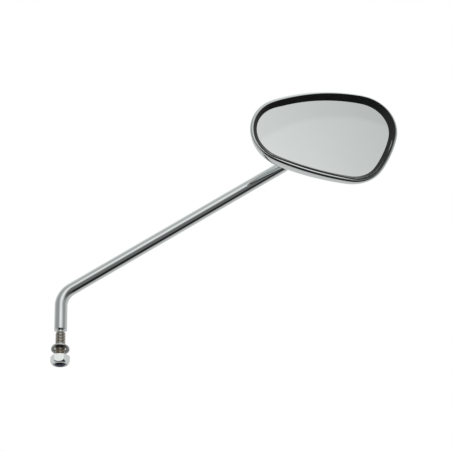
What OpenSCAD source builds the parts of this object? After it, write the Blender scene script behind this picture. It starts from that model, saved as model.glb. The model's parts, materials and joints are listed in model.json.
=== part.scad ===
/* [Stud] */
// Outer diameter of the M8 thread as cut
thread_d = 7.8; // [7:0.1:8]
// Length of the stud below the rod's shoulder
stud_l = 26; // [25.6:0.2:30]
// Chamfer at the stud's end
stud_chamfer = 0.7; // [0.3:0.1:1]
// Diameter of the thread relief under the shoulder
relief_d = 6.2; // [5:0.1:6.8]
// Length of the thread relief
relief_l = 1.8; // [1:0.1:3]

/* [Rod] */
// Diameter of the rod
rod_d = 10; // [9:0.5:12]
// Height of the corner where the leg and the run would meet
corner_h = 30.4; // [26:0.2:60]
// Length of the run, from that corner to where the tip bend begins
run_l = 208; // [150:1:260]
// Rise of the run above level, in degrees
run_rise = 30.7; // [20:0.1:50]
// Centre-line radius of the lower bend
bend_r = 16.5; // [14:0.5:22]
// Centre-line radius of the tip bend
tip_bend_r = 18; // [14:0.5:24]
// Angle of the tip bend, in degrees
tip_bend = 80; // [70:1:90]
// Straight end of the rod after the tip bend
tip_l = 2; // [1:0.5:8]
// How much the rod thins where it is bent, on the radius
bend_thin = 0.05; // [0.04:0.01:0.15]
// Edge round of the rod's shoulders
rod_edge = 0.5; // [0.2:0.1:1]

/* [Ball joint] */
// Diameter of the ball
ball_d = 13; // [12:0.2:13.2]
// Diameter of the neck between rod and ball
neck_d = 6.4; // [5.6:0.2:6.6]
// Length from the rod's end to the ball's centre
neck_l = 11.5; // [11:0.5:20]
// Diameter of the neck's spigot inside the ball
spigot_d = 4.6; // [3.6:0.2:5]
// Wall of the two nylon cups
cup_t = 1.2; // [1:0.1:1.3]
// Half of the gap between the cups
cup_gap = 1.8; // [1.6:0.1:2.2]
// Running clearance of the cups, on the radius
cup_play = 0.06; // [0.03:0.01:0.1]
// Mouth of the rear cup, as an angle from the neck's axis
cup_mouth = 40; // [36:1:44]

/* [Clamp] */
// Angle of the clamp ring's opening, from the head's axis
opening_a = 48.3; // [47:0.1:52]
// Thickness of the clamp ring's and the socket plate's flanges
clamp_t = 1.2; // [1:0.1:1.4]
// Room between a clamp nut's corners and the socket's dome
nut_room = 0.3; // [0.2:0.1:1]
// Width of the clamp flanges beyond the screws' centres
screw_edge = 4; // [3.4:0.1:5]
// Shank diameter of a clamp screw
screw_d = 3; // [2:0.5:3]
// Head diameter of a clamp screw
head_d = 5.6; // [5:0.1:6]
// Head height of a clamp screw
head_h = 1.8; // [1.5:0.1:2.2]
// Round of a clamp screw's head
head_round = 0.9; // [0.4:0.1:1]
// Width across the cross recess of a clamp screw
recess_l = 3; // [2.6:0.1:3.4]
// Width of one slot of that recess
recess_w = 0.7; // [0.5:0.1:1]
// Clearance of a screw in its hole, on the radius
screw_play = 0.15; // [0.1:0.05:0.3]
// How far a screw stands out of its nut
screw_proud = 0.7; // [0.3:0.1:1.2]
// Thickness of a spring washer
spring_t = 0.8; // [0.6:0.1:1]
// Clearance of a spring washer on its screw, on the radius
spring_play = 0.1; // [0.05:0.05:0.2]
// Cut of a spring washer
spring_cut = 0.5; // [0.3:0.1:0.8]
// Width across the flats of a clamp nut
clamp_nut_af = 5.5; // [5:0.1:6.5]
// Height of a clamp nut
clamp_nut_h = 2.4; // [1.8:0.1:2.6]

/* [Mirror outline] */
// Angles of the outward normal where each arc of the glass edge begins
end_from = -35; // [-38:0.5:-32]
// Start of the upper broad corner
upper_from = -18; // [-21:0.5:-15]
// Start of the long top arc
top_from = 79.5; // [77:0.5:83]
// Start of the narrow nose
nose_from = 111; // [108:0.5:114]
// Start of the nearly straight lower left side
belly_from = 246; // [243:0.5:248]
// Start of the lower corner
lower_from = 261; // [259:0.5:264]
// Radius of the upper broad corner
upper_r = 25; // [22:0.5:28]
// Radius of the long top arc
top_r = 131.5; // [120:0.5:145]
// Radius of the nose
nose_r = 24; // [22:0.1:27]
// Radius of the lower corner
lower_r = 21.5; // [19:0.5:25]
// How far the ball lies beyond the nose arc's centre
ball_in = 14.2; // [8:0.2:20]
// How far the ball lies above the nose arc's centre
ball_up = 3.4; // [-4:0.2:6]

/* [Mirror head] */
// Room between the socket's dome and the backing sheet
sheet_room = 0.8; // [0.4:0.1:4]
// Wall of the shell
shell_t = 0.8; // [0.6:0.1:1]
// Outer radius of the rolled edge
bead_r = 2; // [1.8:0.05:2.4]
// How far the rolled edge's inner side reaches past its centre
bead_tail = 1.3; // [1:0.1:1.6]
// Fullness of the domed back: 2 is an ellipse, less is leaner
dome_n = 1.8; // [1.6:0.05:2.2]
// Width of the flat on the shell's back beyond the clamp ring
flat_edge = 1; // [0.4:0.1:3]
// How far the shell's opening stands back from the clamp ring's
mouth_edge = 1.15; // [0.8:0.05:1.4]
// Turn of the head towards the rod's far side, in degrees
head_yaw = 8; // [0:1:14]
// Tilt of the head upwards, in degrees
head_pitch = 0; // [-4:1:8]
// Roll of the head about its own normal, in degrees
head_roll = 0; // [-10:1:10]

/* [Glass] */
// Thickness of the glass
glass_t = 3; // [2:0.5:4]
// Depth of the seal's lip below the rolled edge's front
lip_depth = 3.4; // [3.2:0.1:4]
// Thickness of the seal's lip on the glass
lip_t = 0.5; // [0.4:0.1:0.8]
// How far the glass reaches under the seal's lip
glass_grip = 1.2; // [1:0.1:1.4]
// Distance from the glass edge that shows to the inner side of the rolled edge
seal_w = 2.4; // [2.2:0.1:2.8]
// How far the seal's crest stands out over the rolled edge's front
crest_over = 0.6; // [0.2:0.1:1]
// Width of that crest
crest_w = 0.5; // [0.3:0.1:0.8]
// How far over the rolled edge the seal lies, as an angle of its round from the outside
cover_a = 124; // [115:1:140]
// How far the seal's foot reaches behind the rolled edge
seal_foot = 1.6; // [1:0.1:2]
// Height of the seal's foot
seal_foot_h = 1.3; // [1:0.1:1.6]
// Slope of the foot's underside, where it is pushed in behind the rolled edge
foot_slope = 0.4; // [0.2:0.1:0.6]
// How far the seal's back lip reaches behind the glass
seal_lap = 1.5; // [1:0.1:3]
// Thickness of the seal's back lip
seal_back_t = 0.8; // [0.6:0.1:1]
// Thickness of the foam pad behind the glass
pad_t = 1.4; // [1:0.1:1.4]
// Room between the foam pad's edge and the seal's back lip
pad_room = 0.5; // [0.2:0.1:1]
// Thickness of the backing sheet
sheet_t = 0.8; // [0.6:0.1:1]
// How far the backing sheet's edge lies inside the glass edge that shows
sheet_in = 1.5; // [1:0.1:3]

/* [Washer and nut] */
// Outer diameter of the loose washer
washer_d = 14.2; // [13:0.2:16]
// Hole of the loose washer
washer_hole_d = 8.8; // [8.6:0.1:9.2]
// Thickness of the loose washer
washer_t = 1.4; // [1:0.1:1.6]
// Depth of the washer's centre below the shoulder
washer_at = 15.3; // [12:0.1:15.6]
// Tilt of the washer on the stud, in degrees
washer_tilt = 13.5; // [0:0.5:14]
// Width across the flats of the lock nut
nut_af = 13; // [12:0.5:14]
// Height of the lock nut
nut_h = 7; // [6.5:0.1:8]
// Depth of the nut's upper face below the shoulder
nut_at = 21.3; // [21:0.1:22]
// Diameter of the nut's round lower face
nut_face_d = 10.4; // [10:0.1:11]
// Height over which the nut rounds into its lower face
nut_round_h = 3.6; // [3:0.1:4]
// Height of the chamfer at the nut's top, where it meets the corners
nut_chamfer_h = 0.6; // [0.4:0.1:1]
// How far that chamfer reaches inside the flats
nut_chamfer_in = 0.2; // [0.1:0.1:0.5]
// Room between the thread and the collar's lip below the insert
collar_play = 0.45; // [0.3:0.05:0.6]
// Running clearance of the nut on the stud, on the radius
nut_play = 0.05; // [0.03:0.01:0.1]
// Outer diameter of the nylon insert
insert_d = 9.6; // [9.2:0.1:9.8]
// Height of the nylon insert
insert_h = 1.8; // [1.4:0.1:2.2]
// Depth of the insert's face inside the nut's lower face
insert_in = 0.3; // [0.1:0.1:0.5]

/* [Hidden] */

fine = 96;
small = 48;
touch = 0.02;
past = 1;
bend_lap = 0.3;
spigot_in = 0.2;
seat_edge = 0.3;
lip_gap = 0.2;
seal_fit = 0.05;
clear = 0.1;
foot_fit = 0.1;

// Rod: the lower bend turns the leg into the run, and the tip bend turns the run forward to the ball
lower_bend = 90 - run_rise;
bend_tail = bend_r * tan(lower_bend / 2);
leg_l = corner_h - bend_tail;
run_straight = run_l - bend_tail;
run_dir = [cos(run_rise), 0, sin(run_rise)];
forward = [0, -1, 0];
tip_dir = cos(tip_bend) * run_dir + sin(tip_bend) * forward;
tip_end = [0, 0, corner_h] + run_dir * (run_l + tip_bend_r * sin(tip_bend))
    + forward * tip_bend_r * (1 - cos(tip_bend)) + tip_dir * tip_l;
ball_at = tip_end + tip_dir * neck_l;

// Ball joint: the cups and their seats are spheres about the ball's centre
screws = 3;
ball_r = ball_d / 2;
cup_ri = ball_r + cup_play;
cup_ro = cup_ri + cup_t;
seat_r = cup_ro + cup_play;
dome_r = seat_r + clamp_t;
function sphere_height(r, at) = sqrt(pow(r, 2) - pow(at, 2));
// The spigot ends just under the ball's far side
spigot_end = sphere_height(ball_r, spigot_d / 2) - spigot_in;
// Distance from the ball's centre to the flat that the neck's shoulder bears on
ball_seat = sphere_height(ball_r, neck_d / 2 + seat_edge);

// Clamp: the screws stand clear of the dome, and the flanges and the shell's flat follow them
clamp_nut_r = clamp_nut_af / 2 / cos(30);
screw_circle_r = dome_r + nut_room + clamp_nut_r;
clamp_r = screw_circle_r + screw_edge;
flat_r = clamp_r + flat_edge;
opening_r = seat_r * sin(opening_a);
mouth_r = opening_r + mouth_edge;

// The stack along the head's own axis, from the shell's back to the clamp nuts
ring_z = -seat_r * cos(opening_a);
back_z = ring_z - shell_t;
ring_top = ring_z + clamp_t;
ring_lip = -cup_gap - lip_gap;
plate_z = cup_gap + lip_gap;
plate_top = plate_z + clamp_t;
spring_top = plate_top + spring_t;
nut_top = spring_top + clamp_nut_h;
screw_end = nut_top + screw_proud;

// Glass and its seat, from the backing sheet to the rolled edge's front
sheet_back = dome_r + sheet_room;
pad_back = sheet_back + sheet_t;
glass_back = pad_back + pad_t;
glass_front = glass_back + glass_t;
rim_z = glass_front + lip_t + lip_depth;
seal_back = glass_back - seal_back_t;
bead_z = rim_z - bead_r;
bead_mid = seal_w + bead_r;
edge_out = seal_w + 2 * bead_r;
tail_z = bead_z - bead_tail;

// Outline: arcs that meet at a common tangent. The two long ones are solved so that the chain closes.
arc_from = [end_from, upper_from, top_from, nose_from, belly_from, lower_from, end_from + 360];
known_r = [0, upper_r, top_r, nose_r, 0, lower_r];
ARCS = [0 : 5];
function arc_dx(i) = cos(arc_from[i + 1]) - cos(arc_from[i]);
function arc_dy(i) = sin(arc_from[i + 1]) - sin(arc_from[i]);
function total(list, i = 0) = i < len(list) ? list[i] + total(list, i + 1) : 0;
left_x = total([for (i = ARCS) known_r[i] * arc_dx(i)]);
left_y = total([for (i = ARCS) known_r[i] * arc_dy(i)]);
closing = arc_dx(0) * arc_dy(4) - arc_dx(4) * arc_dy(0);
end_r = (left_y * arc_dx(4) - left_x * arc_dy(4)) / closing;
belly_r = (left_x * arc_dy(0) - left_y * arc_dx(0)) / closing;
arc_r = [end_r, upper_r, top_r, nose_r, belly_r, lower_r];
function toward(a) = [cos(a), sin(a)];
function arc_centre(i) = i == 0
    ? [0, 0]
    : arc_centre(i - 1) + (arc_r[i - 1] - arc_r[i]) * toward(arc_from[i]);
arc_centres = [for (i = ARCS) arc_centre(i)];
ball_from_nose = [ball_in, ball_up];
chord_a = 7;
chord_l = 8;
function arc_steps(i) = let (sweep = arc_from[i + 1] - arc_from[i])
    ceil(max(sweep / chord_a, sweep * PI / 180 * arc_r[i] / chord_l));

// Points of the glass edge moved outwards by grow, about the ball's axis
function outline(grow) = [
    for (i = ARCS)
        let (steps = arc_steps(i), sweep = arc_from[i + 1] - arc_from[i])
        for (k = [0 : steps - 1])
            arc_centres[i] - arc_centres[3] - ball_from_nose
            + (arc_r[i] + grow) * toward(arc_from[i] + sweep * k / steps)
];
function ring_at(grow, z) = [for (p = outline(grow)) [p.x, p.y, z]];

// A ring part of the way from the outline to a circle about the ball's axis
function blend_ring(grow, circle_r, share, z) = [
    for (p = outline(grow))
        let (q = circle_r * p / norm(p) * (1 - share) + p * share) [q.x, q.y, z]
];

// Rings of the domed back between the rolled edge and the flat: a superellipse in depth
DOME_STEPS = 11;
function dome_rings(grow, depth) = [
    for (k = [0 : DOME_STEPS])
        let (a = 90 * k / DOME_STEPS)
        blend_ring(grow, flat_r, pow(cos(a), 2 / dome_n), bead_z - depth * pow(sin(a), 2 / dome_n))
];

// A ring of the rolled edge, at angle a of its round from the outside over the front
function bead_ring(r, a) = ring_at(bead_mid + r * cos(a), bead_z + r * sin(a));

// Closed skin through rings of equal length, the last joined to the first
module ring_skin(rings) {
    n = len(rings[0]);
    m = len(rings);
    polyhedron(
        points = [for (r = rings) each r],
        faces = [
            for (i = [0 : m - 1]) for (k = [0 : n - 1])
                let (a = i * n + k, b = i * n + (k + 1) % n)
                let (c = (i + 1) % m * n + k, d = (i + 1) % m * n + (k + 1) % n)
                each [[a, c, b], [b, c, d]]
        ],
        convexity = 6
    );
}

// Plate with the outline's shape between two depths
module outline_plate(grow, z0, z1) {
    translate([0, 0, z0])
        linear_extrude(z1 - z0)
            polygon(outline(grow));
}

// Rod frames
module at_run_start() {
    translate([bend_r, 0, leg_l])
        rotate([0, lower_bend, 0])
            translate([-bend_r, 0, 0])
                children();
}

module at_tip_start() {
    at_run_start()
        translate([0, 0, run_straight])
            children();
}

// After the tip bend, with +Z towards the ball
module at_tip() {
    at_tip_start()
        translate([0, -tip_bend_r, 0])
            rotate([tip_bend, 0, 0])
                translate([0, tip_bend_r, 0])
                    children();
}

// About the ball's centre, with +Z along the rod's end
module at_ball_on_rod() {
    at_tip()
        translate([0, 0, tip_l + neck_l])
            children();
}

// About the ball's centre, with +Z along the mirror's normal and +Y up
module in_head() {
    translate(ball_at)
        rotate([90 + head_pitch, 0, head_yaw])
            rotate([0, 0, head_roll])
                children();
}

module at_screw(i) {
    in_head()
        rotate([0, 0, 90 + 360 / screws * i])
            translate([screw_circle_r, 0, 0])
                children();
}

// One bend of the rod about the origin, from +X, lapping a little into the straights on both sides
module rod_bend(r, angle) {
    lap = bend_lap / r * 180 / PI;
    rotate([0, 0, -lap])
        rotate_extrude(angle = angle + 2 * lap, $fn = fine)
            translate([r, 0])
                circle(r = rod_d / 2 - bend_thin, $fn = small);
}

// One bent rod with a turned stud at its foot and a turned neck at its tip
module stem_rod() {
    color("gainsboro") {
        // Stud, thread relief and leg
        rotate_extrude($fn = fine)
            polygon([
                [0, -stud_l],
                [thread_d / 2 - stud_chamfer, -stud_l],
                [thread_d / 2, -stud_l + stud_chamfer],
                [thread_d / 2, -relief_l - (thread_d - relief_d) / 2],
                [relief_d / 2, -relief_l],
                [relief_d / 2, 0],
                [rod_d / 2 - rod_edge, 0],
                [rod_d / 2, rod_edge],
                [rod_d / 2, leg_l],
                [0, leg_l]
            ]);
        translate([bend_r, 0, leg_l])
            rotate([90, 0, 0])
                rotate([0, 0, 180 - lower_bend])
                    rod_bend(bend_r, lower_bend);
        at_run_start()
            cylinder(d = rod_d, h = run_straight, $fn = small);
        at_tip_start()
            translate([0, -tip_bend_r, 0])
                rotate([0, 90, 0])
                    rotate([0, 0, 90])
                        rod_bend(tip_bend_r, tip_bend);
        // Tip, neck and the spigot that carries the ball
        at_tip()
            rotate_extrude($fn = fine)
                polygon([
                    [0, 0],
                    [rod_d / 2, 0],
                    [rod_d / 2, tip_l - rod_edge],
                    [rod_d / 2 - rod_edge, tip_l],
                    [neck_d / 2, tip_l],
                    [neck_d / 2, tip_l + neck_l - ball_seat],
                    [spigot_d / 2, tip_l + neck_l - ball_seat],
                    [spigot_d / 2, tip_l + neck_l + spigot_end],
                    [0, tip_l + neck_l + spigot_end]
                ]);
    }
}

// Ball pressed on the spigot, with a flat where the neck's shoulder bears
module pivot_ball() {
    color("silver")
        at_ball_on_rod()
            difference() {
                sphere(r = ball_r, $fn = fine);
                translate([0, 0, -ball_r - past])
                    cylinder(r = spigot_d / 2 + touch, h = 2 * ball_r + 2 * past, $fn = small);
                translate([0, 0, -ball_r - past])
                    cylinder(r = ball_r, h = ball_r + past - ball_seat, $fn = small);
            }
}

// Half of the nylon liner: a spherical shell beyond the cup gap, open within mouth_r of its axis
module cup_shell(mouth_r) {
    rotate_extrude($fn = fine)
        intersection() {
            difference() {
                circle(r = cup_ro, $fn = fine);
                circle(r = cup_ri, $fn = fine);
            }
            translate([mouth_r, cup_gap])
                square([cup_ro + past, cup_ro + past]);
        }
}

module rear_cup() {
    color("ivory")
        at_ball_on_rod()
            rotate([180, 0, 0])
                cup_shell(cup_ri * sin(cup_mouth));
}

module front_cup() {
    color("ivory")
        in_head()
            cup_shell(0);
}

module screw_hole(z0, z1) {
    for (i = [0 : screws - 1])
        rotate([0, 0, 90 + 360 / screws * i])
            translate([screw_circle_r, 0, z0])
                cylinder(r = screw_d / 2 + screw_play, h = z1 - z0, $fn = small);
}

// Turned ring against the shell's back that seats the rear cup
module clamp_ring() {
    color("darkgray")
        in_head()
            difference() {
                union() {
                    translate([0, 0, ring_z])
                        cylinder(r = clamp_r, h = clamp_t, $fn = fine);
                    translate([0, 0, ring_z])
                        cylinder(r = dome_r, h = ring_lip - ring_z, $fn = fine);
                }
                sphere(r = seat_r, $fn = fine);
                translate([0, 0, ring_z - past])
                    cylinder(r = opening_r, h = past + touch, $fn = fine);
                screw_hole(ring_z - past, ring_top + past);
            }
}

// Pressed plate with a dome that seats the front cup
module socket_plate() {
    color("darkgray")
        in_head()
            difference() {
                union() {
                    translate([0, 0, plate_z])
                        cylinder(r = clamp_r, h = clamp_t, $fn = fine);
                    intersection() {
                        sphere(r = dome_r, $fn = fine);
                        translate([0, 0, plate_z])
                            cylinder(r = dome_r, h = dome_r, $fn = small);
                    }
                }
                sphere(r = seat_r, $fn = fine);
                screw_hole(plate_z - past, plate_top + past);
            }
}

// Pan-head screw from behind the shell, with a cross recess
module clamp_screw(i) {
    tip_chamfer = screw_d / 10;
    round_r = head_d / 2 - head_round;
    round_z = back_z - head_h + head_round;
    color("silver")
        at_screw(i)
            difference() {
                rotate_extrude($fn = small)
                    polygon([
                        [0, back_z - head_h],
                        for (a = [0 : 30 : 90])
                            [round_r + head_round * sin(a), round_z - head_round * cos(a)],
                        [head_d / 2, back_z],
                        [screw_d / 2, back_z],
                        [screw_d / 2, screw_end - tip_chamfer],
                        [screw_d / 2 - tip_chamfer, screw_end],
                        [0, screw_end]
                    ]);
                for (a = [0, 90])
                    rotate([0, 0, a])
                        translate([-recess_l / 2, -recess_w / 2, back_z - head_h - past])
                            cube([recess_l, recess_w, past + head_h / 2]);
            }
}

// Split ring, with its cut towards the ball
module spring_washer(i) {
    color("dimgray")
        at_screw(i)
            translate([0, 0, plate_top])
                difference() {
                    cylinder(d = clamp_nut_af, h = spring_t, $fn = small);
                    translate([0, 0, -past])
                        cylinder(r = screw_d / 2 + spring_play, h = spring_t + 2 * past, $fn = small);
                    translate([-clamp_nut_af, -spring_cut / 2, -past])
                        cube([clamp_nut_af, spring_cut, spring_t + 2 * past]);
                }
}

module clamp_nut(i) {
    color("silver")
        at_screw(i)
            translate([0, 0, spring_top])
                difference() {
                    intersection() {
                        cylinder(r = clamp_nut_r, h = clamp_nut_h, $fn = 6);
                        cylinder(r1 = clamp_nut_af, r2 = clamp_nut_af / 2, h = clamp_nut_h, $fn = small);
                    }
                    translate([0, 0, -past])
                        cylinder(r = screw_d / 2 + touch, h = clamp_nut_h + 2 * past, $fn = small);
                }
}

// Hard sheet behind the foam
module backing_sheet() {
    color("saddlebrown")
        in_head()
            outline_plate(-sheet_in, sheet_back, pad_back);
}

module backing_pad() {
    color("dimgray")
        in_head()
            outline_plate(-seal_lap - pad_room, pad_back, glass_back);
}

module mirror_glass() {
    color("lightgray")
        in_head()
            outline_plate(glass_grip, glass_back, glass_front);
}

// Rubber seal: a slope from the glass up to a crest that lies over the rolled edge, a foot that
// hooks behind that edge, and a back lip
module glass_seal() {
    seal_in = glass_grip + seal_fit;
    wall_out = seal_w - seal_fit;
    foot_out = seal_w + seal_foot;
    foot_top = tail_z - foot_fit;
    foot_low = foot_top - seal_foot_h;
    lip_top = glass_front + lip_t;
    crest_z = rim_z + crest_over;
    crest_out = bead_mid + (bead_r + seal_fit) * cos(cover_a);
    COVER_STEPS = 4;
    color("black")
        in_head()
            ring_skin([
                ring_at(0, glass_front),
                ring_at(0, lip_top),
                ring_at(crest_out - crest_w, crest_z),
                ring_at(crest_out, crest_z),
                for (k = [0 : COVER_STEPS])
                    bead_ring(bead_r + seal_fit, cover_a + (180 - cover_a) * k / COVER_STEPS),
                ring_at(wall_out, foot_top),
                ring_at(foot_out, foot_top),
                ring_at(foot_out, foot_low),
                ring_at(wall_out, foot_low - foot_slope),
                ring_at(wall_out, seal_back),
                ring_at(-seal_lap, seal_back),
                ring_at(-seal_lap, glass_back),
                ring_at(seal_in, glass_back),
                ring_at(seal_in, glass_front)
            ]);
}

// Pressed shell: domed back, flat round the ball, and an edge rolled forward and inward
module mirror_shell() {
    BEAD_STEPS = 8;
    start_r = mouth_r - past;
    dome_depth = bead_z - back_z;
    color("gainsboro")
        in_head()
            difference() {
                ring_skin([
                    each dome_rings(edge_out, dome_depth),
                    blend_ring(0, start_r, 0, back_z),
                    blend_ring(0, start_r, 0, ring_z),
                    for (r = [DOME_STEPS : -1 : 0])
                        dome_rings(edge_out - shell_t, dome_depth - shell_t)[r],
                    for (k = [1 : BEAD_STEPS])
                        bead_ring(bead_r - shell_t, 180 * k / BEAD_STEPS),
                    ring_at(seal_w + shell_t, tail_z),
                    ring_at(seal_w, tail_z),
                    for (k = [BEAD_STEPS : -1 : 1])
                        bead_ring(bead_r, 180 * k / BEAD_STEPS)
                ]);
                translate([0, 0, back_z - past])
                    cylinder(r = mouth_r, h = shell_t + 2 * past, $fn = fine);
                screw_hole(back_z - past, ring_z + past);
            }
}

// Loose washer, hanging tilted on the thread
module mounting_washer() {
    color("darkgray")
        translate([0, 0, -washer_at])
            rotate([-washer_tilt, 0, 0])
                translate([0, 0, -washer_t / 2])
                    difference() {
                        cylinder(d = washer_d, h = washer_t, $fn = fine);
                        translate([0, 0, -past])
                            cylinder(d = washer_hole_d, h = washer_t + 2 * past, $fn = fine);
                    }
}

// Lock nut: a hexagon that rounds into a collar at its lower end, where the nylon sits
module lock_nut() {
    nut_low = -nut_at - nut_h;
    corner_r = nut_af / 2 / cos(30);
    insert_low = nut_low + insert_in;
    round_out = corner_r + clear - nut_face_d / 2;
    color("silver")
        difference() {
            intersection() {
                translate([0, 0, nut_low])
                    cylinder(r = corner_r, h = nut_h, $fn = 6);
                rotate_extrude($fn = fine)
                    polygon([
                        [0, nut_low],
                        for (a = [0 : 15 : 90])
                            [nut_face_d / 2 + round_out * sin(a), nut_low + nut_round_h * (1 - cos(a))],
                        [corner_r + clear, -nut_at - nut_chamfer_h],
                        [nut_af / 2 - nut_chamfer_in, -nut_at],
                        [0, -nut_at]
                    ]);
            }
            translate([0, 0, nut_low - past])
                cylinder(r = thread_d / 2 + nut_play, h = nut_h + 2 * past, $fn = fine);
            translate([0, 0, insert_low])
                cylinder(d = insert_d, h = insert_h, $fn = fine);
            translate([0, 0, nut_low - past])
                cylinder(r = thread_d / 2 + collar_play, h = past + insert_in + touch, $fn = fine);
        }
}

// Dark blue nylon ring held in the nut's lower end
module nut_insert() {
    color("midnightblue")
        translate([0, 0, -nut_at - nut_h + insert_in])
            difference() {
                translate([0, 0, touch])
                    cylinder(d = insert_d - 2 * touch, h = insert_h - 2 * touch, $fn = fine);
                translate([0, 0, -past])
                    cylinder(r = thread_d / 2 + nut_play, h = insert_h + 2 * past, $fn = fine);
            }
}

stem_rod();
pivot_ball();
mounting_washer();
lock_nut();
nut_insert();
rear_cup();
front_cup();
clamp_ring();
socket_plate();
clamp_screw(0);  // clamp_screw_1
clamp_screw(1);  // clamp_screw_2
clamp_screw(2);  // clamp_screw_3
spring_washer(0);  // spring_washer_1
spring_washer(1);  // spring_washer_2
spring_washer(2);  // spring_washer_3
clamp_nut(0);  // clamp_nut_1
clamp_nut(1);  // clamp_nut_2
clamp_nut(2);  // clamp_nut_3
backing_sheet();
backing_pad();
mirror_glass();
glass_seal();
mirror_shell();
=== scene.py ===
import json
import math

import bpy
import numpy as np
from mathutils import Matrix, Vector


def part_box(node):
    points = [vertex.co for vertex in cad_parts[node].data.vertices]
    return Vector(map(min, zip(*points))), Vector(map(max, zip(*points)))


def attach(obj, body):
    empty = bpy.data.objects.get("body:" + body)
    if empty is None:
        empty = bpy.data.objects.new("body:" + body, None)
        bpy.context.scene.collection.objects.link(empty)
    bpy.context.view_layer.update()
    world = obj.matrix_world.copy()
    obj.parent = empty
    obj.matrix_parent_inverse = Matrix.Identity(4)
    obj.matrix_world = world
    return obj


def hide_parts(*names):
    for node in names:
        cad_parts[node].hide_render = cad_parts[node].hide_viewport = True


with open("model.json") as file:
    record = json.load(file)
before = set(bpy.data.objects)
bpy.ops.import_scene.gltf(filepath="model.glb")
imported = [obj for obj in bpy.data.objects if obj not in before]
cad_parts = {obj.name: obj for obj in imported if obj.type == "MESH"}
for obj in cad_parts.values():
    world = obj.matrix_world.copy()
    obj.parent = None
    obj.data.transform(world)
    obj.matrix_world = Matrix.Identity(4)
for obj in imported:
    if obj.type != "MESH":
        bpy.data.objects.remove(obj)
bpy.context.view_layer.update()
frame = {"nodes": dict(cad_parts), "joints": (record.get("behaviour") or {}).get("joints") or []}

scene = bpy.context.scene
MM = 0.001

# Camera. It stands a metre in front of the glass and well below it, looks up and is turned
# a little about its own axis, as fitted to the rod, the stud and the outline of the head.
IMAGE_PX = 452
FOCAL_PX = 1350
SENSOR_MM = 36
CAMERA_AT = (0.1320, -0.9707, -0.4075)
CAMERA_RISE = 26.9
CAMERA_ROLL = -2.45

camera = bpy.data.objects.new("camera", bpy.data.cameras.new("camera"))
scene.collection.objects.link(camera)
scene.camera = camera
camera.data.sensor_width = SENSOR_MM
camera.data.lens = FOCAL_PX * SENSOR_MM / IMAGE_PX
camera.matrix_world = (
    Matrix.Translation(CAMERA_AT)
    @ Matrix.Rotation(math.radians(90 + CAMERA_RISE), 4, "X")
    @ Matrix.Rotation(math.radians(CAMERA_ROLL), 4, "Z")
)

# Rod. One round steel bar, bent up from its stud and forward behind the head, turned at both
# ends: an M8 stud with a relief under the shoulder below, and a slim neck to the ball above.
# It is ground, polished and chromed all over, and the plating is thin and dull in the thread. Painted
# shade darkens the thread's roots and the stud below the washer.
joint = {j["name"]: j for j in frame["joints"]}
BALL_AT = np.array(joint["head_roll"]["pos_m"]) / MM
roll_axis = np.array(joint["head_roll"]["axis"])
TIP_DIR = roll_axis / np.linalg.norm(roll_axis)
UP = np.array([0, 0, 1])
rod_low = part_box("stem_rod")[0]
ROD_R = -rod_low.x / MM
STUD_L = -rod_low.z / MM
NECK_L = 11.5
NECK_R = 3.2
NECK_IN_BALL = 4
LOWER_BEND_R = 16.5
TIP_BEND_R = 18
SHOULDER_ROUND = 0.5
PITCH = 1.25
CREST_R = 3.9
THREAD_DEPTH = 0.66
CREST_FLAT = 0.35
FLANK = 0.5
RELIEF_R = 3.1
RELIEF_L = 1.8
RUNOUT_L = 0.85
END_CHAMFER = 0.7
# Columns round the bar, rows in a pitch, in a small round and in a cone, and degrees in a bend's row
ROUND_COLS = 96
PITCH_ROWS = 14
ROUND_ROWS = 6
CONE_ROWS = 8
BEND_STEP = 1.5
# Small steps: between two rows whose edge stays sharp, or between two things just apart
HAIR = 0.02
TOUCH = 0.001


def unit(v):
    """A vector, or each row of an array of them, divided by its length."""
    return v / np.linalg.norm(v, axis=-1, keepdims=True)


def bent_path(corners, radii):
    """Points and directions along a polyline whose inner corners are arcs of the given radii.

    An arc of radius r that turns by angle t starts r * tan(t / 2) before its corner.
    """
    points = [corners[0]]
    ways = [unit(corners[1] - corners[0])]
    for k, r in enumerate(radii, start=1):
        before = unit(corners[k] - corners[k - 1])
        after = unit(corners[k + 1] - corners[k])
        turn = math.acos(before @ after)
        inward = unit(after - before * (before @ after))
        start = corners[k] - before * r * math.tan(turn / 2)
        a = np.linspace(0, turn, int(turn / math.radians(BEND_STEP)) + 2)[:, None]
        points.extend(start + before * r * np.sin(a) + inward * r * (1 - np.cos(a)))
        ways.extend(before * np.cos(a) + inward * np.sin(a))
    points.append(corners[-1])
    ways.append(unit(corners[-1] - corners[-2]))
    return np.array(points), np.array(ways)


def around(cols):
    """Angles of the columns round an axis, and the unit circle at them."""
    a = np.arange(cols) / cols * 2 * math.pi
    return a, np.stack([np.cos(a), np.sin(a)], -1)


def along_path(points, ways, radii, first_side):
    """Circles of the given radii about a path, kept from twisting.

    Each circle's first spoke is the last one's with its part along the path taken out.
    """
    _, circle = around(ROUND_COLS)
    side = first_side
    rings = []
    for p, w, r in zip(points, ways, radii):
        side = unit(side - w * (w @ side))
        rings.append(p + r * (circle[:, :1] * side + circle[:, 1:] * np.cross(w, side)))
    return np.array(rings)


def threaded(z, a):
    """Radius of the right-hand thread at height z and angle a.

    t runs from 0 at a crest's middle to 1 at a root's. The crest is flat up to CREST_FLAT, as a
    plated one is, the flank slopes over the next FLANK, and the rest is the flat root.
    """
    t = np.abs((z / PITCH - a / (2 * math.pi) + 0.5) % 1 - 0.5) * 2
    return CREST_R - THREAD_DEPTH * np.clip((t - CREST_FLAT) / FLANK, 0, 1)


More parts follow.
